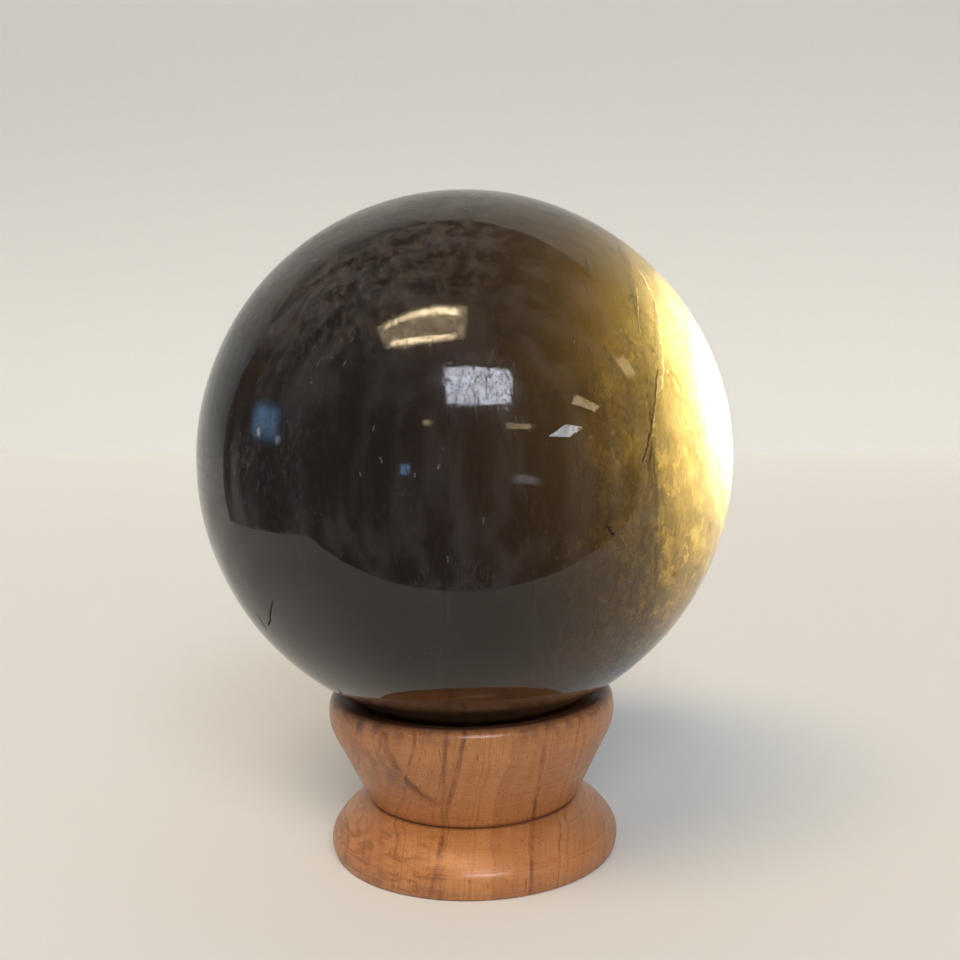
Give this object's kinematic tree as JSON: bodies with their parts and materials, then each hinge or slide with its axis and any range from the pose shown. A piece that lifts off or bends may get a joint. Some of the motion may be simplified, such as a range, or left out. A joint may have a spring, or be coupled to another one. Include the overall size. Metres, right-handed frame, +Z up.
{
  "type": "decorative sphere on a turned stand",
  "caption": "Polished dark crystal ball resting loose in the dished rim of a small waisted stand turned from wood.",
  "frame": {"origin": "middle of the stand's underside, on the surface that it stands on", "axes": "+Z up along the turning axis of the stand and through the ball's centre; -Y towards the viewer of the reference picture, +X to the viewer's right"},
  "size_m": [0.06, 0.06, 0.0755],
  "materials": {
    "stone": "polished",
    "wood": "satin varnish"
  },
  "bodies": {
    "root": {"sphere": "stone", "stand": "wood"}
  },
  "joints": []
}
